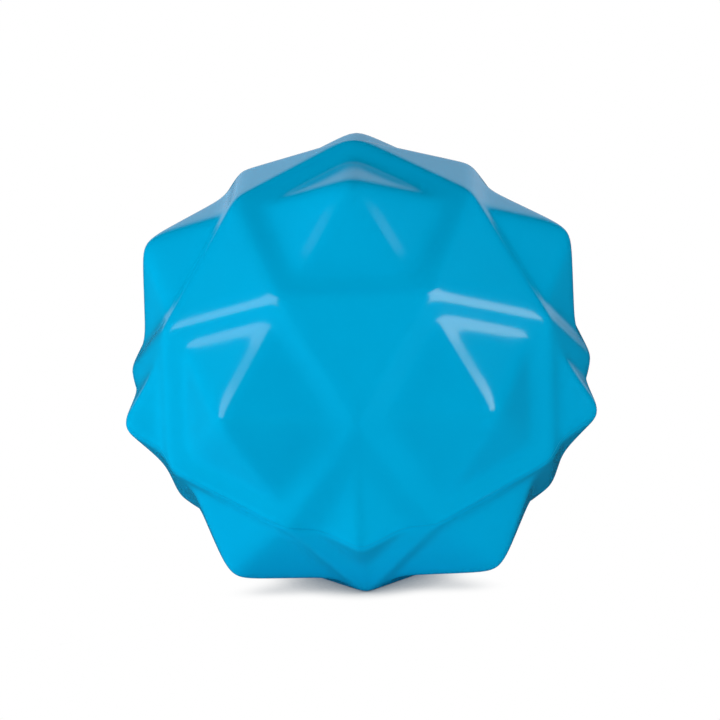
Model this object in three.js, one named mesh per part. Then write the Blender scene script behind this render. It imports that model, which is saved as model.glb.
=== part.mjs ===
// A hollow faceted bouncy ball: two moulded rubber cups, cemented at their flat rims.
// Each cup is half of a faceted body with six pentagons and ten triangles, and the two are mirror images.
// A low pyramid stands on every pentagon, and another on each pair of triangles that meet at the seam.
// Millimetres, +Z up. The ball stands on one flat triangle, and the origin is that triangle's centre.
import * as THREE from "three";
import { mergeVertices } from "three/addons/utils/BufferGeometryUtils.js";

// Faceted body
const cornerRadius = 45; // ball centre to a sharp corner of the body
const rimWidth = 4.55; // flat rim left round each five-sided pyramid
const pyramidHeight = 10.95; // sharp tip of a five-sided pyramid above its rim
const seamRimWidth = 4.7; // flat rim left beside each four-sided pyramid on the seam
const seamPyramidHeight = 5.9; // sharp tip of a four-sided pyramid above the seam edge it straddles
const edgeSetback = 0.365; // how far the rounding takes an edge of the body back from its sharp line
const ridgeSetback = 0.59; // and a ridge of a pyramid
const footFill = 0.55; // how far the fillet fills the groove at a pyramid's foot

// Cups and the cement between them
const wallThickness = 5; // at the middle of a pentagon's plane, where the wall is thinnest
const cementThickness = 0.4;
const cementFlash = 0.15; // how far the cement stands proud of the cups
const fitGap = 0.3; // clearance between pieces that seat on each other

// Self-sealing plug
const plugStemDiameter = 7;
const plugFlangeDiameter = 13;
const plugFlangeThickness = 2;
const plugChamfer = 0.6; // on the stem's free end
const socketCover = 6; // rubber left between the plug's socket and the pyramid tip outside it

// Mesh lines, as shares of the stretch that they divide
const edgeLines = [0, 0.1, 0.5, 0.9, 1];
const tipToFootLines = [0, 0.12, 0.45, 0.86];
const footToEdgeLines = [0, 0.35, 0.72, 1];
const flatFaceLines = [0, 0.5, 0.75, 0.9, 1];
const cavityRows = 6;
const plugSides = 36;

const rubberBlue = { color: 0x009eca, roughness: 0.2, metalness: 0 };
const cementBlue = { color: 0x008bc0, roughness: 0.5, metalness: 0 };
const gumRubber = { color: 0xb98d58, roughness: 0.6, metalness: 0 };

const sides = 5;
const turn = (2 * Math.PI) / sides;
const restingTurn = 2; // the flat triangle that faces down, counted round the mould's axis

// Unit direction at an angle from the mould's axis, and at an angle round it from +Y towards +X.
function direction(polar, round) {
  return new THREE.Vector3(
    Math.sin(polar) * Math.sin(round),
    Math.sin(polar) * Math.cos(round),
    Math.cos(polar),
  );
}

// The body's corners lie on three rings: round the pole pentagon, below it, and on the seam.
const edgeLength = cornerRadius / ((1 + Math.sqrt(5)) / 2);
const poleRing = Math.asin(edgeLength / (2 * Math.sin(turn / 2)) / cornerRadius);
const middleRing = Math.PI / 2 - poleRing;
const seamRing = Math.PI / 2;
const corner = (ring, round) => direction(ring, round).multiplyScalar(cornerRadius);
const poleCorner = (k) => corner(poleRing, k * turn);
const middleCorner = (k) => corner(middleRing, (k + 0.5) * turn);
const seamCornerBefore = (k) => corner(seamRing, (k - 0.25) * turn);
const seamCornerAfter = (k) => corner(seamRing, (k + 0.25) * turn);

const mean = (points) =>
  points
    .reduce((sum, point) => sum.add(point), new THREE.Vector3())
    .divideScalar(points.length);
const mirrored = (points) => points.map((point) => new THREE.Vector3(point.x, point.y, -point.z));
const edgesOf = (corners) => corners.map((a, i) => [a, corners[(i + 1) % corners.length]]);

// Faces of the upper half, each as its corners in order.
const turns = [...Array(sides).keys()];
const polePentagon = turns.map(poleCorner);
const sidePentagons = turns.map((k) => [
  poleCorner(k),
  middleCorner(k),
  seamCornerAfter(k),
  seamCornerBefore(k),
  middleCorner(k - 1),
]);
const pentagons = [polePentagon, ...sidePentagons];
const flatTriangles = turns.map((k) => [poleCorner(k), poleCorner(k + 1), middleCorner(k)]);
const seamTriangles = turns.map((k) => [
  middleCorner(k),
  seamCornerAfter(k),
  seamCornerBefore(k + 1),
]);

// A plane is held as its unit normal over its distance from the ball's centre,
// so a ray along a unit direction leaves it at 1 / plane.dot(ray).
function planeThrough(point, normal) {
  return normal.clone().divideScalar(normal.dot(point));
}

const facePlane = (corners) => planeThrough(mean(corners), mean(corners).normalize());

// Planes of a pyramid with this tip, on a face whose rim keeps this width along each edge given.
function pyramidSides(tip, rim, corners, edges) {
  const centre = mean(corners);
  return edges.map(([a, b]) => {
    const middle = mean([a, b]);
    const foot = middle.clone().addScaledVector(centre.clone().sub(middle).normalize(), rim);
    const normal = b.clone().sub(a).cross(tip.clone().sub(foot)).normalize();
    return planeThrough(tip, normal);
  });
}

const raised = (point, height) => point.clone().setLength(point.length() + height);

function fiveSidedPyramid(corners) {
  const tip = raised(mean(corners), pyramidHeight);
  return { tip, planes: pyramidSides(tip, rimWidth, corners, edgesOf(corners)) };
}

// Half of a four-sided pyramid stands on the upper triangle, and half on its mirror image.
const slantedEdges = (corners) => [corners.slice(0, 2), [corners[2], corners[0]]];
const seamMiddle = (corners) => mean(corners.slice(1));

function fourSidedPyramid(corners) {
  const tip = raised(seamMiddle(corners), seamPyramidHeight);
  const planes = [corners, mirrored(corners)].flatMap((half) =>
    pyramidSides(tip, seamRimWidth, half, slantedEdges(half)),
  );
  return { tip, planes };
}

const upperFaces = [...pentagons, ...flatTriangles, ...seamTriangles];
const bodyPlanes = [...upperFaces, ...upperFaces.map(mirrored)].map(facePlane);
const pyramids = [
  ...[...pentagons, ...pentagons.map(mirrored)].map(fiveSidedPyramid),
  ...seamTriangles.map(fourSidedPyramid),
];
const pyramidReach = Math.cos(THREE.MathUtils.degToRad(32)); // it shapes nothing beyond its face's corners

// The largest value, rounded off where two are alike so that an edge there moves by the setback.
function softLargest(values, setback) {
  const sharpness = (cornerRadius ** 2 * Math.LN2) / setback;
  const largest = Math.max(...values);
  const sum = values.reduce((total, value) => total + Math.exp(sharpness * (value - largest)), 0);
  return largest + Math.log(sum) / sharpness;
}

const softLeast = (values, setback) => -softLargest(values.map((value) => -value), setback);

// Distance from the ball's centre to its outer surface: the body's planes, or a pyramid that stands out.
function outerRadius(ray) {
  const alongRay = (planes, setback) => softLargest(planes.map((plane) => plane.dot(ray)), setback);
  const near = pyramids.filter(({ tip }) => tip.dot(ray) > pyramidReach * tip.length());
  const risen = near.map(({ planes }) => alongRay(planes, ridgeSetback));
  return 1 / softLeast([alongRay(bodyPlanes, edgeSetback), ...risen], footFill);
}

// A surface gathered as loose triangles, joined into one closed mesh at the end.
function addGrid(triangles, rows, reversed) {
  for (let i = 0; i + 1 < rows.length; i++) {
    for (let j = 0; j + 1 < rows[i].length; j++) {
      const quad = [rows[i][j], rows[i + 1][j], rows[i + 1][j + 1], rows[i][j + 1]];
      if (reversed) quad.reverse();
      const halves = [
        [quad[0], quad[1], quad[2]],
        [quad[0], quad[2], quad[3]],
      ];
      triangles.push(...halves.filter(([a, b, c]) => !a.equals(b) && !b.equals(c) && !c.equals(a)));
    }
  }
}

function meshOf(name, triangles, finish) {
  const loose = new THREE.BufferGeometry().setFromPoints(triangles.flat());
  const geometry = mergeVertices(loose);
  geometry.computeVertexNormals();
  const mesh = new THREE.Mesh(geometry, new THREE.MeshStandardMaterial(finish));
  mesh.name = name;
  return mesh;
}

const blend = (a, b, share) => a.clone().lerp(b, share);

// Mesh lines from a pyramid's tip to the face's edge, with one line on the pyramid's foot.
function pyramidLines(footShare) {
  return [
    ...tipToFootLines.map((share) => share * footShare),
    ...footToEdgeLines.map((share) => footShare + share * (1 - footShare)),
  ];
}

const pentagonApothem = mean(polePentagon.slice(0, 2)).distanceTo(mean(polePentagon));
const seamApothem = (edgeLength / 2) * Math.sin(Math.PI / 3); // seam edge's middle to a slanted edge
const pentagonLines = pyramidLines(1 - rimWidth / pentagonApothem);
const seamTriangleLines = pyramidLines(1 - seamRimWidth / seamApothem);

const cavityRadius = mean(polePentagon).length() - wallThickness;
const rimHeight = cementThickness / 2 + fitGap; // of a cup's rim above the seam's middle plane
const liftBand = 4; // height above the seam over which the surface is lifted, less and less

// The point of the upper half that lies outwards of this one. On the seam it moves up to the cup's rim.
function outerPoint(inner) {
  const ray = inner.clone().normalize();
  const point = ray.clone().multiplyScalar(outerRadius(ray));
  point.z += rimHeight * Math.max(0, 1 - point.z / liftBand);
  return point;
}

// Grids of the outer surface over one face: a fan from a centre to each edge, with these mesh lines between.
function fanGrids(centre, edges, lines) {
  return edges.map(([a, b]) => {
    const outward = a.clone().cross(b).dot(centre) > 0;
    const [first, last] = outward ? [a, b] : [b, a];
    return lines.map((line) =>
      edgeLines.map((share) => outerPoint(blend(centre, blend(first, last, share), line))),
    );
  });
}

const upperGrids = [
  ...pentagons.flatMap((face) => fanGrids(mean(face), edgesOf(face), pentagonLines)),
  ...flatTriangles.flatMap((face) => fanGrids(mean(face), edgesOf(face), flatFaceLines)),
  ...seamTriangles.flatMap((face) => fanGrids(seamMiddle(face), slantedEdges(face), seamTriangleLines)),
];

// The rim's outline, closed on its first point: each pentagon's edge, then over the pyramid after it.
const openOutline = turns.flatMap((k) => {
  const start = seamCornerBefore(k);
  const foot = seamCornerAfter(k);
  const end = seamCornerBefore(k + 1);
  const middle = mean([foot, end]);
  const alongEdge = edgeLines.map((share) => blend(start, foot, share));
  const upPyramid = seamTriangleLines.map((line) => blend(middle, foot, line)).reverse();
  const downPyramid = seamTriangleLines.map((line) => blend(middle, end, line));
  return [alongEdge, upPyramid, downPyramid].flatMap((stretch) => stretch.slice(1).map(outerPoint));
});
const rimOutline = [...openOutline, openOutline[0]];

// A ring of points at this radius and height, one inwards of each point of the outline.
const ringAt = ([radius, height]) =>
  rimOutline.map((point) => {
    const shrink = radius / Math.hypot(point.x, point.y);
    return new THREE.Vector3(point.x * shrink, point.y * shrink, height);
  });
const axisPoint = (height) => rimOutline.map(() => new THREE.Vector3(0, 0, height));

// Profile of a smooth cavity from its mouth up to this radius from the axis, as radius and height.
function cavityProfile(endRadius) {
  const mouth = Math.asin(rimHeight / cavityRadius);
  const end = Math.acos(endRadius / cavityRadius);
  return [...Array(cavityRows + 1).keys()].map((row) => {
    const angle = mouth + ((end - mouth) * row) / cavityRows;
    return [cavityRadius * Math.cos(angle), cavityRadius * Math.sin(angle)];
  });
}

// The lower half is the upper one's mirror image, which turns its faces round.
function halfShell(name, lower, insideRows) {
  const triangles = [];
  const place = (rows) => (lower ? rows.map(mirrored) : rows);
  upperGrids.forEach((grid) => addGrid(triangles, place(grid), lower));
  addGrid(triangles, place([rimOutline, ...insideRows]), !lower);
  return meshOf(name, triangles, rubberBlue);
}

// The upper cup's cavity closes at the pole.
const upperProfile = cavityProfile(0).slice(0, -1);
const upperInside = [...upperProfile.map(ringAt), axisPoint(cavityRadius)];

// The lower cup has a stepped socket on the mould's axis, for the plug's flange and stem.
const flangeSeatRadius = plugFlangeDiameter / 2 + fitGap;
const stemSocketRadius = plugStemDiameter / 2 + fitGap;
const flangeTop = Math.sqrt(cavityRadius ** 2 - flangeSeatRadius ** 2);
const flangeSeat = flangeTop + plugFlangeThickness + fitGap;
const stemSocketEnd = outerRadius(direction(0, 0)) - socketCover;
const lowerProfile = [
  ...cavityProfile(flangeSeatRadius),
  [flangeSeatRadius, flangeSeat],
  [stemSocketRadius, flangeSeat],
  [stemSocketRadius, stemSocketEnd],
];
const lowerInside = [...lowerProfile.map(ringAt), axisPoint(stemSocketEnd)];

// Cement fills the seam between the rims, and follows the ball's outline.
function seamCementRing() {
  const half = cementThickness / 2;
  const outer = (height) =>
    rimOutline.map((point) => {
      const grow = 1 + cementFlash / Math.hypot(point.x, point.y);
      return new THREE.Vector3(point.x * grow, point.y * grow, height);
    });
  const rows = [outer(-half), outer(half), ringAt([cavityRadius, half]), ringAt([cavityRadius, -half])];
  const triangles = [];
  addGrid(triangles, [...rows, rows[0]], false);
  return meshOf("seam_cement_ring", triangles, cementBlue);
}

// The plug's flange lies flush with the cavity, and its stem points out along the mould's axis.
function inflationPlug() {
  const stem = plugStemDiameter / 2;
  const flange = plugFlangeDiameter / 2;
  const underFlange = flangeSeat - fitGap;
  const stemEnd = stemSocketEnd - fitGap;
  const profile = [
    [0, -stemEnd],
    [stem - plugChamfer, -stemEnd],
    [stem, -stemEnd + plugChamfer],
    [stem, -underFlange],
    [flange, -underFlange],
    [flange, -flangeTop],
    [0, -flangeTop],
  ].map(([radius, height]) => new THREE.Vector2(radius, height));
  const plug = new THREE.Mesh(
    new THREE.LatheGeometry(profile, plugSides).rotateX(Math.PI / 2),
    new THREE.MeshStandardMaterial(gumRubber),
  );
  plug.name = "inflation_plug";
  return plug;
}

// The mould's axis leans so that a flat triangle of the lower half faces straight down.
const restingFace = mean(mirrored(flatTriangles[restingTurn]));
const mould = new THREE.Group();
mould.quaternion.setFromUnitVectors(restingFace.clone().normalize(), new THREE.Vector3(0, 0, -1));
mould.position.z = restingFace.length();
mould.add(
  halfShell("upper_half_shell", false, upperInside),
  halfShell("lower_half_shell", true, lowerInside),
  seamCementRing(),
  inflationPlug(),
);

const ball = new THREE.Group();
ball.add(mould);

export default ball;
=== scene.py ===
import math

import bpy
import numpy as np
from mathutils import Matrix, Vector


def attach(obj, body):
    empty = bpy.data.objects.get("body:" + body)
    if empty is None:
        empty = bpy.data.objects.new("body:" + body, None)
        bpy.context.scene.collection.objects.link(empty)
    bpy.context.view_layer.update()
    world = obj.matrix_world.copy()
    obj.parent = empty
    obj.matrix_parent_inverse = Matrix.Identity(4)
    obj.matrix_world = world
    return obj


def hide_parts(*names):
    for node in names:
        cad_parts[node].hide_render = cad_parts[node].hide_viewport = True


# A faceted hollow rubber ball that stands on one of its flat triangles, in metres.
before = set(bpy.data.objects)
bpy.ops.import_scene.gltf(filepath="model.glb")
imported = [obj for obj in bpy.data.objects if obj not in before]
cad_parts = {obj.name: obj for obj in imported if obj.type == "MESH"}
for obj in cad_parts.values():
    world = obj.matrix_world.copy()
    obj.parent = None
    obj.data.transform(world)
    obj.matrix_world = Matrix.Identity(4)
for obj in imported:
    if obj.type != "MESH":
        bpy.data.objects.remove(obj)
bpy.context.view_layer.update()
print("frame loaded:", ", ".join(sorted(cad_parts)))

mm = 0.001


# Outer form of the ball, in the mould's own frame: z is the mould's axis, z = 0 is the seam.
ballForm = {
    "sides": 5,  # the mould's axis has five-fold symmetry
    "cornerRadius": 45 * mm,  # ball centre to a sharp corner of the faceted body
    "rimWidth": 4.55 * mm,  # flat rim round each five-sided pyramid
    "pyramidHeight": 10.95 * mm,  # sharp tip above that rim
    "seamRimWidth": 4.7 * mm,  # flat rim beside each four-sided pyramid on the seam
    "seamPyramidHeight": 5.9 * mm,  # sharp tip above the seam edge that it straddles
    "edgeSetback": 0.38 * mm,  # how far rounding takes an edge of the body back
    "ridgeSetback": 0.62 * mm,  # and a ridge of a pyramid
    "footFill": 0.55 * mm,  # how far the fillet fills a pyramid's foot
    "pyramidReach": math.cos(math.radians(32)),  # a pyramid shapes nothing further from its tip
}
turnStep = 2 * math.pi / ballForm["sides"]
turns = np.arange(ballForm["sides"])


# Points at an angle from the mould's axis and at angles round it, from +y towards +x.
def ringPoints(polar, around):
    around = np.asarray(around, float)
    flat = np.stack([np.sin(around), np.cos(around)], -1) * math.sin(polar)
    return ballForm["cornerRadius"] * np.concatenate(
        [flat, np.full(around.shape + (1,), math.cos(polar))], -1
    )


edgeLength = ballForm["cornerRadius"] * 2 / (1 + math.sqrt(5))
poleRing = math.asin(edgeLength / (2 * math.sin(turnStep / 2)) / ballForm["cornerRadius"])
poleCorners = ringPoints(poleRing, turns * turnStep)
middleCorners = ringPoints(math.pi / 2 - poleRing, (turns + 0.5) * turnStep)
seamBefore = ringPoints(math.pi / 2, (turns - 0.25) * turnStep)
seamAfter = ringPoints(math.pi / 2, (turns + 0.25) * turnStep)
seamNext = np.roll(seamBefore, -1, axis=0)

# Faces of the upper half, each a row of corners in order.
sidePentagons = np.stack(
    [poleCorners, middleCorners, seamAfter, seamBefore, np.roll(middleCorners, 1, axis=0)], 1
)
pentagons = np.concatenate([poleCorners[None], sidePentagons])
flatTriangles = np.stack([poleCorners, np.roll(poleCorners, -1, axis=0), middleCorners], 1)
seamTriangles = np.stack([middleCorners, seamAfter, seamNext], 1)
mirror = np.array([1.0, 1.0, -1.0])  # turns the upper half into the lower one
mouldAxis = np.array([0, 0, 1.0])


# A plane is held as unit normal over distance, so a ray leaves it at 1 / (plane . ray).
def planesOfFaces(faces):
    centres = faces.mean(1)
    return centres / (centres**2).sum(-1, keepdims=True)


# Planes through each pyramid's tip and the lines that run rim inside the face's edges a-b.
def pyramidPlanes(tips, rim, centres, a, b):
    middle = (a + b) / 2
    inwards = centres[:, None] - middle
    foot = middle + rim * inwards / np.linalg.norm(inwards, axis=-1, keepdims=True)
    normal = np.cross(b - a, tips[:, None] - foot)
    return normal / (normal * tips[:, None]).sum(-1, keepdims=True)


def raisedBy(points, height):
    length = np.linalg.norm(points, axis=-1, keepdims=True)
    return points * (1 + height / length)


allPentagons = np.concatenate([pentagons, pentagons * mirror])
pentagonTips = raisedBy(allPentagons.mean(1), ballForm["pyramidHeight"])
pentagonPyramids = pyramidPlanes(
    pentagonTips, ballForm["rimWidth"], allPentagons.mean(1),
    allPentagons, np.roll(allPentagons, -1, axis=1),
)
seamMiddles = seamTriangles[:, 1:].mean(1)
seamTips = raisedBy(seamMiddles, ballForm["seamPyramidHeight"])
seamPyramids = np.concatenate([
    pyramidPlanes(
        seamTips, ballForm["seamRimWidth"], (seamTriangles * side).mean(1),
        seamTriangles[:, :1] * side, seamTriangles[:, 1:] * side,
    )
    for side in (np.ones(3), mirror)
], 1)
upperPlanes = np.concatenate([planesOfFaces(f) for f in (pentagons, flatTriangles, seamTriangles)])
bodyPlanes = np.concatenate([upperPlanes, upperPlanes * mirror])


# Largest value in each row, rounded off where two are alike: log of the sum of exponentials.
def softLargest(values, setback):
    sharpness = ballForm["cornerRadius"] ** 2 * math.log(2) / setback
    largest = values.max(-1)
    return largest + np.log(np.exp(sharpness * (values - largest[..., None])).sum(-1)) / sharpness


# Centre to surface along unit rays: 1 / soft least of the body's soft largest plane and each pyramid's.
def outerRadius(rays):
    leaves = [softLargest(rays @ bodyPlanes.T, ballForm["edgeSetback"])]
    farOff = 2 / mm  # stands for a pyramid out of reach, larger than any plane gives
    pyramids = list(zip(pentagonTips, pentagonPyramids)) + list(zip(seamTips, seamPyramids))
    for tip, planes in pyramids:
        near = rays @ tip > ballForm["pyramidReach"] * np.linalg.norm(tip)
        leaves.append(np.where(near, softLargest(rays @ planes.T, ballForm["ridgeSetback"]), farOff))
    return -1 / softLargest(-np.stack(leaves, -1), ballForm["footFill"])


def outerPoints(points):
    rays = points / np.linalg.norm(points, axis=-1, keepdims=True)
    flat = rays.reshape(-1, 3)
    return (flat * outerRadius(flat)[:, None]).reshape(points.shape)


# Standing frame: the mould leans until one flat triangle of the lower half faces down, then rises.
restingFace = (flatTriangles[2] * mirror).mean(0)
standTurn = np.array(Vector(restingFace).rotation_difference(Vector((0, 0, -1))).to_matrix())
ballCentre = np.array([0, 0, np.linalg.norm(restingFace)])


def standing(points):
    return points @ standTurn.T + ballCentre


# Shares from 0 to 1 that crowd towards both ends, half a cosine wave.
def crowded(count):
    return 0.5 - 0.5 * np.cos(np.linspace(0, math.pi, count + 1))


# Two triangles for each cell of grids of points that lie in memory as (fans, rows, columns).
def gridTriangles(fans, rows, columns):
    index = np.arange(fans * rows * columns).reshape(fans, rows, columns)
    p, q, r, s = index[:, :-1, :-1], index[:, 1:, :-1], index[:, 1:, 1:], index[:, :-1, 1:]
    return np.concatenate([np.stack(corners, -1).reshape(-1, 3) for corners in ((p, q, r), (p, r, s))])


# Joins surfaces given as (points, triangles) into one: alike points merge, triangles without area go.
def joined(surfaces):
    mergeSize = 0.0001 * mm
    starts = np.cumsum([0] + [len(points) for points, _ in surfaces[:-1]])
    points = np.concatenate([points for points, _ in surfaces])
    triangles = np.concatenate([triangles + start for (_, triangles), start in zip(surfaces, starts)])
    _, first, same = np.unique(
        np.round(points / mergeSize).astype(np.int64), axis=0, return_index=True, return_inverse=True
    )
    triangles = same.reshape(-1)[triangles]
    a, b, c = triangles.T
    return points[first], triangles[(a != b) & (b != c) & (c != a)]


# Puts points and triangles into a mesh, smooth but for edges sharper than the angle.
def addPiece(name, points, triangles, material, sharpAngle=40):
    mesh = bpy.data.meshes.new(name)
    mesh.vertices.add(len(points))
    mesh.vertices.foreach_set("co", points.astype(np.float32).ravel())
    mesh.loops.add(triangles.size)
    mesh.loops.foreach_set("vertex_index", triangles.astype(np.int32).ravel())
    mesh.polygons.add(len(triangles))
    mesh.polygons.foreach_set("loop_start", np.arange(0, triangles.size, 3, dtype=np.int32))
    mesh.polygons.foreach_set("use_smooth", np.ones(len(triangles), dtype=bool))
    mesh.update(calc_edges=True)
    mesh.validate()
    mesh.set_sharp_from_angle(angle=math.radians(sharpAngle))
    mesh.materials.append(material)
    piece = bpy.data.objects.new(name, mesh)
    bpy.context.scene.collection.objects.link(piece)
    return piece


# sRGB hex to linear light and full alpha, by the two parts of the sRGB curve.
def linear(hexColour):
    channels = [int(hexColour[i:i + 2], 16) / 255 for i in (1, 3, 5)]
    return tuple(c / 12.92 if c <= 0.04045 else ((c + 0.055) / 1.055) ** 2.4 for c in channels) + (1.0,)


# Adds a node, sets its properties and sockets, and links other nodes' outputs to its inputs.
def addNode(tree, kind, properties=(), values=(), links=()):
    node = tree.nodes.new(kind)
    for name, value in dict(properties).items():
        setattr(node, name, value)
    for socket, value in dict(values).items():
        node.inputs[socket].default_value = value
    for socket, (source, output) in dict(links).items():
        tree.links.new(source.outputs[output], node.inputs[socket])
    return node


def newMaterial(name):
    material = bpy.data.materials.new(name)
    material.use_nodes = True
    material.node_tree.nodes.clear()
    return material, material.node_tree


# Moulded thermoplastic rubber: an even, strong blue with a smooth skin from a polished mould.
# It gives long soft-edged highlights on rounded edges, and a faint cloudiness in the pigment.
blueRubber = {
    "colour": "#009bca",
    "cloudColour": "#00a1d0",
    "cloudSize": 16 * mm,
    "cloudDetail": 3.0,
    "roughness": 0.15,
    "roughnessSpread": 0.015,
    "patchSize": 5 * mm,  # of areas with a little more or less gloss
    "patchDetail": 4.0,
    "patchRange": (0.3, 0.7),  # noise that gives the least and the most roughness
    "grainSize": 0.5 * mm,  # the mould's own grain is about 0.05 mm, drawn coarser so that it shows
    "grainDepth": 0.004 * mm,
    "grainDetail": 2.0,
    "ior": 1.4,
}


def makeRubber(name, look):
    material, tree = newMaterial(name)
    place = addNode(tree, "ShaderNodeTexCoord")
    cloud = addNode(
        tree, "ShaderNodeTexNoise",
        values={"Scale": 1 / look["cloudSize"], "Detail": look["cloudDetail"]},
        links={"Vector": (place, "Object")},
    )
    colour = addNode(
        tree, "ShaderNodeMix", {"data_type": "RGBA"},
        {6: linear(look["colour"]), 7: linear(look["cloudColour"])}, {0: (cloud, "Fac")},
    )
    patch = addNode(
        tree, "ShaderNodeTexNoise",
        values={"Scale": 1 / look["patchSize"], "Detail": look["patchDetail"]},
        links={"Vector": (place, "Object")},
    )
    least, most = look["patchRange"]
    low, high = (look["roughness"] + side * look["roughnessSpread"] for side in (-1, 1))
    roughness = addNode(
        tree, "ShaderNodeMapRange",
        values={"From Min": least, "From Max": most, "To Min": low, "To Max": high},
        links={"Value": (patch, "Fac")},
    )
    grain = addNode(
        tree, "ShaderNodeTexNoise",
        values={"Scale": 1 / look["grainSize"], "Detail": look["grainDetail"]},
        links={"Vector": (place, "Object")},
    )
    bump = addNode(
        tree, "ShaderNodeBump", values={"Strength": 1.0, "Distance": look["grainDepth"]},
        links={"Height": (grain, "Fac")},
    )
    shader = addNode(
        tree, "ShaderNodeBsdfPrincipled", values={"IOR": look["ior"]},
        links={
            "Base Color": (colour, 2), "Roughness": (roughness, "Result"), "Normal": (bump, "Normal"),
        },
    )
    addNode(tree, "ShaderNodeOutputMaterial", links={"Surface": (shader, "BSDF")})
    return material


shellRubber = makeRubber("mouldedBlueRubber", blueRubber)

# Cured rubber cement at the seam: the same pigment a shade darker, trimmed with a knife, so dull.
seamCement = dict(
    blueRubber, colour="#0090be", cloudColour="#0098c8", roughness=0.5, grainSize=0.3 * mm,
    grainDepth=0.012 * mm, ior=1.2,
)
cementRubber = makeRubber("trimmedRubberCement", seamCement)

# Unpigmented gum rubber: matt, amber-brown, faintly cloudy.
gumPlug = dict(
    blueRubber, colour="#b08350", cloudColour="#c2975f", cloudSize=4 * mm, roughness=0.6,
    grainDepth=0.01 * mm,
)
gumRubber = makeRubber("mouldedGumRubber", gumPlug)
print("materials made")


# The two cups: a fine outer skin, a flat rim at the seam, and a smooth cavity.
cup = {
    "wall": 5 * mm,  # at the middle of a pentagon's plane
    "rimHeight": 0.15 * mm,  # of the rim above the seam's middle plane
    "liftBand": 4 * mm,  # height above the seam over which the skin is lifted onto the rim
    "acrossSteps": 30,  # grid steps along each facet's edge
    "footSteps": 22,  # from a pyramid's tip to its foot
    "rimSteps": 14,  # from the foot to the facet's edge
    "flatSteps": 20,  # from the middle of a flat triangle to its edge
    "flatCrowding": 0.6,  # power below 1, which crowds those towards the edge
    "cavityRows": 14,
}
plug = {
    "stemDiameter": 7 * mm,
    "flangeDiameter": 13 * mm,
    "flangeThickness": 2 * mm,
    "cover": 6 * mm,  # rubber left beyond the socket, out to the pyramid's tip
    "gap": 0.3 * mm,  # round the plug in its socket
    "edgeRadius": 0.5 * mm,
    "edgeSteps": 6,  # round each rounded edge
    "sides": 72,
}
across = crowded(cup["acrossSteps"])


# Grid lines from a pyramid's tip to the facet's edge, crowded at the tip, the foot and the edge.
def linesToEdge(rim, apothem):
    foot = 1 - rim / apothem
    toFoot = foot * crowded(cup["footSteps"])
    toEdge = foot + (1 - foot) * crowded(cup["rimSteps"])
    return np.concatenate([toFoot[:-1], toEdge])


pentagonApothem = np.linalg.norm(poleCorners[:2].mean(0) - poleCorners.mean(0))
seamApothem = edgeLength / 2 * math.sin(math.pi / 3)
pentagonLines = linesToEdge(ballForm["rimWidth"], pentagonApothem)
seamLines = linesToEdge(ballForm["seamRimWidth"], seamApothem)
flatLines = np.linspace(0, 1, cup["flatSteps"] + 1) ** cup["flatCrowding"]


# Lifts the skin next to the seam so that its edge lies on the cup's rim: less and less up to a height.
def onRim(points, height):
    lifted = points.copy()
    lifted[..., 2] += height * np.maximum(0, 1 - points[..., 2] / cup["liftBand"])
    return lifted


# Fan over a face: centre + line * (a + share * (b - a) - centre), pushed out to the surface.
def fan(centres, a, b, lines):
    turned = (np.cross(a, b) * centres).sum(-1, keepdims=True) < 0
    a, b = np.where(turned, b, a), np.where(turned, a, b)
    edge = a[:, None] + across[:, None] * (b - a)[:, None]
    grid = centres[:, None, None] + lines[:, None, None] * (edge[:, None] - centres[:, None, None])
    points = onRim(outerPoints(grid), cup["rimHeight"])
    return points.reshape(-1, 3), gridTriangles(len(centres), len(lines), len(across))


def fanOverFaces(faces, lines):
    count = faces.shape[1]
    centres = np.repeat(faces.mean(1), count, axis=0)
    return fan(centres, faces.reshape(-1, 3), np.roll(faces, -1, axis=1).reshape(-1, 3), lines)


outerSkin = [
    fanOverFaces(pentagons, pentagonLines),
    fanOverFaces(flatTriangles, flatLines),
    fan(seamMiddles, seamTriangles[:, 0], seamTriangles[:, 1], seamLines),
    fan(seamMiddles, seamTriangles[:, 2], seamTriangles[:, 0], seamLines),
]

# Outline at the seam, closed: along each pentagon's edge, up the next pyramid and down again.
alongEdge = seamBefore[:, None] + across[1:, None] * (seamAfter - seamBefore)[:, None]
upPyramid = seamMiddles[:, None] + seamLines[::-1][1:, None] * (seamAfter - seamMiddles)[:, None]
downPyramid = seamMiddles[:, None] + seamLines[1:, None] * (seamNext - seamMiddles)[:, None]
openOutline = np.concatenate([alongEdge, upPyramid, downPyramid], 1).reshape(-1, 3)
outline = outerPoints(np.concatenate([openOutline, openOutline[:1]]))
outline[:, 2] = 0
outlineRadius = np.linalg.norm(outline, axis=-1, keepdims=True)
outwards = outline / outlineRadius

cavityRadius = np.linalg.norm(poleCorners.mean(0)) - cup["wall"]
seatRadius = plug["flangeDiameter"] / 2 + plug["gap"]
socketRadius = plug["stemDiameter"] / 2 + plug["gap"]
flangeTop = math.sqrt(cavityRadius**2 - seatRadius**2)
flangeSeat = flangeTop + plug["flangeThickness"] + plug["gap"]
poleRadius = np.linalg.norm(outerPoints(mouldAxis[None]))
socketEnd = poleRadius - plug["cover"]


# Arc of the cavity from the rim up to a radius from the axis: radius cos, radius sin.
def cavityArc(endRadius):
    start, end = math.asin(cup["rimHeight"] / cavityRadius), math.acos(endRadius / cavityRadius)
    angle = np.linspace(start, end, cup["cavityRows"] + 1)
    return cavityRadius * np.stack([np.cos(angle), np.sin(angle)], -1)


# Carries a profile of radius and height round the outline's angles; the rim's outline is its first row.
def insideSurface(profile):
    rings = profile[:, None, :1] * outwards + profile[:, None, 1:] * mouldAxis
    rim = outline + cup["rimHeight"] * mouldAxis
    rows = np.concatenate([rim[None], rings])
    return rows.reshape(-1, 3), gridTriangles(1, *rows.shape[:2])[:, ::-1]


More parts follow.
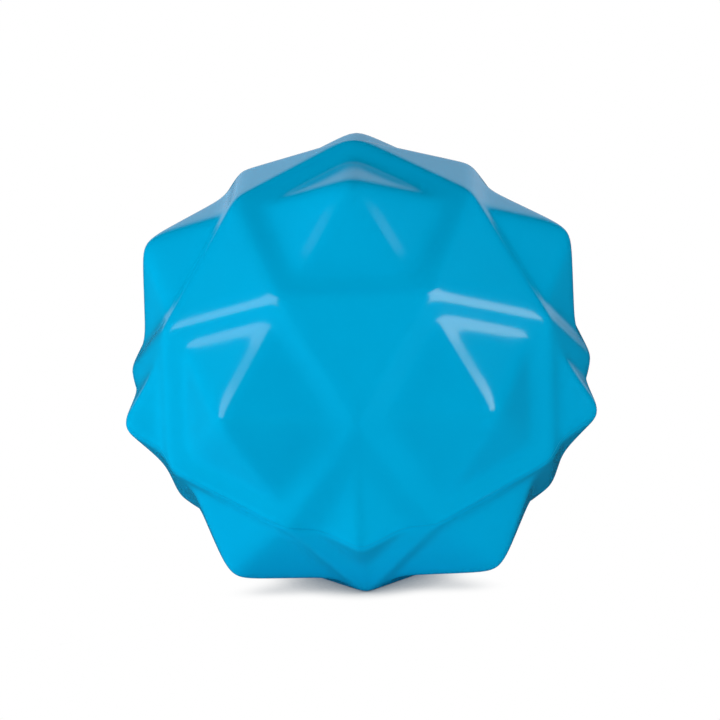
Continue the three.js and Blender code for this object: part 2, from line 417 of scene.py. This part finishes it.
upperInside = insideSurface(cavityArc(0))
lowerInside = insideSurface(np.concatenate([
    cavityArc(seatRadius),
    [[seatRadius, flangeSeat], [socketRadius, flangeSeat], [socketRadius, socketEnd], [0, socketEnd]],
]))
upperPoints, upperTriangles = joined(outerSkin + [upperInside])
lowerPoints, lowerTriangles = joined(outerSkin + [lowerInside])
upperCup = addPiece("upperHalfShell", standing(upperPoints), upperTriangles, shellRubber)
lowerCup = addPiece("lowerHalfShell", standing(lowerPoints * mirror), lowerTriangles[:, ::-1], shellRubber)
print("cups made:", len(upperTriangles), "and", len(lowerTriangles), "triangles")


# Cement in the seam: a bead that follows the outline and stands a hair proud; flash laps over the rims.
cement = {
    "proud": 0.02 * mm,  # where there is no flash
    "ripple": [  # share of that height, waves round the seam, and phase in radians
        (0.25, 23, 0),
        (0.2, 57, 1),
        (0.15, 101, 2),
    ],
    "flashHeight": 0.11 * mm,
    "flashLap": 0.15 * mm,  # how far flash reaches over each rim
    "flash": [  # angle round the mould's axis and spread, in degrees, and share of the full height
        (216, 6, 1.0),
        (202, 2, 0.9),
        (195, 2, 0.8),
        (147, 5, 1.0),
        (60, 7, 0.9),
        (-40, 5, 0.8),
    ],
    "beadSteps": 8,  # across the bead
}


# Share of flash round the seam: the largest of a bell for each bit of it.
def flashShare(around):
    share = np.zeros_like(around)
    for angle, spread, height in cement["flash"]:
        off = np.abs((np.degrees(around) - angle + 180) % 360 - 180)
        share = np.maximum(share, height * np.exp(-((off / spread) ** 2)))
    return share


around = np.arctan2(outline[:, 0], outline[:, 1])
flash = flashShare(around)[:, None]
ripple = sum(share * np.sin(waves * around + phase) for share, waves, phase in cement["ripple"])
beadHeight = cement["proud"] * (1 + ripple[:, None]) + cement["flashHeight"] * flash
beadHalf = cup["rimHeight"] + cement["flashLap"] * flash
bend = np.linspace(-1, 1, cement["beadSteps"] + 1)[:, None, None]
beadRows = outline + (1 - bend**2) * beadHeight * outwards + bend * beadHalf * mouldAxis  # a parabola
innerRows = cavityRadius * outwards + cup["rimHeight"] * np.stack([mouldAxis, -mouldAxis])[:, None]
cementRows = np.concatenate([beadRows, innerRows, beadRows[:1]])
cementPoints, cementTriangles = joined(
    [(cementRows.reshape(-1, 3), gridTriangles(1, *cementRows.shape[:2]))]
)
cementRing = addPiece("seamCementRing", standing(cementPoints), cementTriangles, cementRubber)
print("cement ring made:", len(cementTriangles), "triangles")


# Plug: a profile of radius and height turned round the mould's axis. Its edges are quarter circles.
def roundedCorner(centreRadius, centreHeight, startAngle):
    angle = np.radians(startAngle) + np.linspace(0, math.pi / 2, plug["edgeSteps"] + 1)
    return np.stack([
        centreRadius + plug["edgeRadius"] * np.cos(angle),
        centreHeight + plug["edgeRadius"] * np.sin(angle),
    ], -1)


soft = plug["edgeRadius"]
stemRadius, flangeRadius = plug["stemDiameter"] / 2, plug["flangeDiameter"] / 2
underFlange, stemEnd = flangeSeat - plug["gap"], socketEnd - plug["gap"]
plugProfile = np.concatenate([
    [[0, -stemEnd]],
    roundedCorner(stemRadius - soft, soft - stemEnd, -90),
    [[stemRadius, -underFlange]],
    roundedCorner(flangeRadius - soft, soft - underFlange, -90),
    roundedCorner(flangeRadius - soft, -flangeTop - soft, 0),
    [[0, -flangeTop]],
])
plugAngle = np.linspace(0, 2 * math.pi, plug["sides"] + 1)
plugRows = np.stack([
    plugProfile[:, :1] * np.cos(plugAngle), plugProfile[:, :1] * np.sin(plugAngle),
    plugProfile[:, 1:] * np.ones_like(plugAngle),
], -1)
plugPoints, plugTriangles = joined(
    [(plugRows.reshape(-1, 3), gridTriangles(1, *plugRows.shape[:2])[:, ::-1])]
)
plugPiece = addPiece("inflationPlug", standing(plugPoints), plugTriangles, gumRubber)
print("plug made:", len(plugTriangles), "triangles")

for piece, node, slot in (
    (upperCup, "upper_half_shell", "shell_rubber"),
    (lowerCup, "lower_half_shell", "shell_rubber"),
    (cementRing, "seam_cement_ring", "seam_cement"),
    (plugPiece, "inflation_plug", "gum_rubber"),
):
    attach(piece, "root")
    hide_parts(node)


# Camera: a long lens, a little above the ball, as fitted to the photo's outline.
camera = {
    "azimuth": 1.56,  # degrees to the right of straight in front
    "elevation": 8.41,
    "roll": -1.91,
    "distance": 875.3 * mm,
    "lens": 226.1,  # focal length in mm
    "sensorWidth": 36,  # in mm
    "clipEnd": 20,  # in metres
    "imageSide": 720,  # pixels
    "ballAt": (360.98, 364.68),  # where the ball's centre falls, in pixels from the top left corner
}
eyeTurn, eyeRise = math.radians(camera["azimuth"]), math.radians(camera["elevation"])
towardsEye = Vector((
    math.sin(eyeTurn) * math.cos(eyeRise), -math.cos(eyeTurn) * math.cos(eyeRise), math.sin(eyeRise),
))
eyeRight = Vector((0, 0, 1)).cross(towardsEye).normalized()
eyeUp = towardsEye.cross(eyeRight)
lean = Matrix.Rotation(math.radians(camera["roll"]), 3, towardsEye)
eyeRight, eyeUp = lean @ eyeRight, lean @ eyeUp
cameraData = bpy.data.cameras.new("camera")
cameraData.lens = camera["lens"]
cameraData.sensor_width = camera["sensorWidth"]
cameraData.clip_end = camera["clipEnd"]
cameraObject = bpy.data.objects.new("camera", cameraData)
bpy.context.scene.collection.objects.link(cameraObject)
half = camera["imageSide"] / 2
cameraData.shift_x = (half - camera["ballAt"][0]) / camera["imageSide"]
cameraData.shift_y = (camera["ballAt"][1] - half) / camera["imageSide"]
eyePlace = Matrix.Translation(Vector(ballCentre) + towardsEye * camera["distance"])
cameraObject.matrix_world = eyePlace @ Matrix((eyeRight, eyeUp, towardsEye)).transposed().to_4x4()
bpy.context.scene.camera = cameraObject
print("camera set")


# Studio: warm soft boxes that the skin only mirrors, each dimmer at its top, and lamps that only light it.
boxColour = "#ffead4"


# Lamp turned towards the ball: azimuth from straight in front and elevation, both from the ball's centre and
# in degrees, then lengths in metres and power in watts.
def addLamp(name, azimuth, elevation, distance, width, height, power, mirrored=False):
    data = bpy.data.lights.new(name, "AREA")
    data.shape = "RECTANGLE"
    data.size, data.size_y = width, height
    data.energy = power
    lamp = bpy.data.objects.new(name, data)
    bpy.context.scene.collection.objects.link(lamp)
    turn, rise = math.radians(azimuth), math.radians(elevation)
    out = Vector((math.sin(turn) * math.cos(rise), -math.cos(turn) * math.cos(rise), math.sin(rise)))
    facing = out.to_track_quat("Z", "Y").to_matrix().to_4x4()
    lamp.matrix_world = Matrix.Translation(Vector(ballCentre) + out * distance) @ facing
    lamp.visible_camera = False
    lamp.visible_glossy = mirrored
    lamp.visible_diffuse = not mirrored
    data.cycles.use_multiple_importance_sampling = mirrored  # else a hidden lamp still glints
    if mirrored:
        data.color = linear(boxColour)[:3]


addLamp("rightBox", 65, 18.5, distance=0.9, width=0.45, height=0.61, power=4.7, mirrored=True)
addLamp("rightBoxTop", 65, 41, distance=0.9, width=0.45, height=0.1, power=0.15, mirrored=True)
addLamp("leftBox", -68, 18.5, distance=0.9, width=0.46, height=0.54, power=2.35, mirrored=True)
addLamp("leftBoxTop", -68, 39, distance=0.9, width=0.46, height=0.1, power=0.1, mirrored=True)
addLamp("leftFill", -90, 10, distance=1.0, width=0.6, height=0.3, power=10.2)
addLamp("nearFill", 0, 25, distance=0.17, width=0.08, height=0.08, power=0.054)
addLamp("topFill", 0, 60, distance=1.0, width=0.6, height=0.6, power=1.5)
addLamp("rightFill", 60, 30, distance=1.0, width=0.6, height=0.6, power=4.8)
addLamp("backFill", 120, 60, distance=1.0, width=0.6, height=0.6, power=1.1)

# The photo's floor is overexposed: plain white to the eye, but for a soft shade where the ball covers it.
# Reflections see it nearly black, as they do in the photo. What it sends back to the ball has no red, since
# the photo clips the red of so strong a blue.
# The floor's shade to the eye is a painted shadow, not cast by the lamps. Its white glow is mixed towards a
# dark blue by how much of the sky the ball hides close by.
floorLook = {
    "side": 12.0,  # metres
    "shadeReach": 6 * mm,  # how near the ball has to be to shade the floor
    "shadeSamples": 16,
    "shadeFalloff": 4.0,  # power by which the shade weakens as less of the floor is covered
    # dark blue of the painted shadow, where the ball hides the floor's sky fully
    "paintedShadowColour": "#00405a",
    "mirrorStrength": 0.01,  # as the skin mirrors it, where 1 is what the eye sees
    "bounceColour": "#00f2f2",
    "bounce": 0.45,  # glow that only lights the ball from below
}
floorMaterial, tree = newMaterial("paintedStudioFloor")
path = addNode(tree, "ShaderNodeLightPath")
mirrored = addNode(
    tree, "ShaderNodeMath", {"operation": "MAXIMUM"},
    links={0: (path, "Is Glossy Ray"), 1: (path, "Is Transmission Ray")},
)
# Painted shadow: the share of open sky round each floor point, within the reach, sets how dark the glow
# turns.
openSky = addNode(
    tree, "ShaderNodeAmbientOcclusion", {"samples": floorLook["shadeSamples"]},
    {"Distance": floorLook["shadeReach"]},
)
cover = addNode(tree, "ShaderNodeMath", {"operation": "SUBTRACT"}, {0: 1.0}, {1: (openSky, "AO")})
shade = addNode(
    tree, "ShaderNodeMath", {"operation": "POWER"}, {1: floorLook["shadeFalloff"]}, {0: (cover, 0)}
)
# Painted shadow colour: the glow goes from white to the dark blue as more of the floor is covered.
floorGlowWithPaintedShadow = addNode(
    tree, "ShaderNodeMix", {"data_type": "RGBA"},
    {6: linear("#ffffff"), 7: linear(floorLook["paintedShadowColour"])}, {0: (shade, 0)},
)
glowStrength = addNode(
    tree, "ShaderNodeMath", {"operation": "MULTIPLY_ADD"}, {1: floorLook["mirrorStrength"]},
    {0: (mirrored, 0), 2: (path, "Is Camera Ray")},
)
glow = addNode(tree, "ShaderNodeEmission", links={"Color": (floorGlowWithPaintedShadow, 2), "Strength": (glowStrength, 0)})
matt = addNode(tree, "ShaderNodeBsdfDiffuse", values={"Color": linear(floorLook["bounceColour"])})
bounceStrength = addNode(
    tree, "ShaderNodeMath", {"operation": "MULTIPLY"}, {1: floorLook["bounce"]}, {0: (path, "Is Diffuse Ray")}
)
bounce = addNode(
    tree, "ShaderNodeEmission", values={"Color": linear(floorLook["bounceColour"])},
    links={"Strength": (bounceStrength, 0)},
)
lit = addNode(tree, "ShaderNodeAddShader", links={0: (matt, "BSDF"), 1: (bounce, "Emission")})
seen = addNode(
    tree, "ShaderNodeMath", {"operation": "MAXIMUM"}, links={0: (path, "Is Camera Ray"), 1: (mirrored, 0)}
)
both = addNode(tree, "ShaderNodeMixShader", links={0: (seen, 0), 1: (lit, "Shader"), 2: (glow, "Emission")})
addNode(tree, "ShaderNodeOutputMaterial", links={"Surface": (both, "Shader")})
floorCorners = np.array([[-1, -1, 0], [1, -1, 0], [1, 1, 0], [-1, 1, 0]]) * floorLook["side"] / 2
floor = addPiece("studioFloor", floorCorners, np.array([[0, 1, 2], [0, 2, 3]]), floorMaterial)

# White to the eye. The skin mirrors a pale backdrop straight behind the ball and a dark room elsewhere.
# A faint cool fill comes from all round.
surround = {
    "fill": 0.03,
    "fillColour": "#00e9ff",
    "mirrorColour": "#d1e6ff",  # of the backdrop as the skin mirrors it
    "mirrorStrength": 0.66,
    "backFrom": 0.84,  # a mirrored ray's share of straight back, where the backdrop starts to show
    "backTo": 0.945,  # and where it shows in full
}
world = bpy.data.worlds.new("whiteSurround")
world.use_nodes = True
bpy.context.scene.world = world
tree = world.node_tree
tree.nodes.clear()
path = addNode(tree, "ShaderNodeLightPath")
place = addNode(tree, "ShaderNodeTexCoord")
axes = addNode(tree, "ShaderNodeSeparateXYZ", links={"Vector": (place, "Generated")})
behind = addNode(
    tree, "ShaderNodeMapRange",
    values={
        "From Min": surround["backFrom"], "From Max": surround["backTo"],
        "To Max": surround["mirrorStrength"],
    },
    links={"Value": (axes, "Y")},
)
mirrored = addNode(
    tree, "ShaderNodeMath", {"operation": "MULTIPLY"},
    links={0: (path, "Is Glossy Ray"), 1: (behind, "Result")},
)
straight = addNode(
    tree, "ShaderNodeMath", {"operation": "MAXIMUM"},
    links={0: (path, "Is Camera Ray"), 1: (path, "Is Transmission Ray")},
)
seen = addNode(tree, "ShaderNodeMath", {"operation": "MAXIMUM"}, links={0: (straight, 0), 1: (mirrored, 0)})
seenColour = addNode(
    tree, "ShaderNodeMix", {"data_type": "RGBA"},
    {6: linear("#ffffff"), 7: linear(surround["mirrorColour"])}, {0: (path, "Is Glossy Ray")},
)
white = addNode(tree, "ShaderNodeBackground", links={"Color": (seenColour, 2), "Strength": (seen, 0)})
filled = addNode(
    tree, "ShaderNodeMath", {"operation": "MULTIPLY"}, {1: surround["fill"]}, {0: (path, "Is Diffuse Ray")}
)
cool = addNode(
    tree, "ShaderNodeBackground", values={"Color": linear(surround["fillColour"])},
    links={"Strength": (filled, 0)},
)
sky = addNode(tree, "ShaderNodeAddShader", links={0: (white, "Background"), 1: (cool, "Background")})
addNode(tree, "ShaderNodeOutputWorld", links={"Surface": (sky, "Shader")})
bpy.context.scene.view_settings.view_transform = "Standard"
print("studio set")
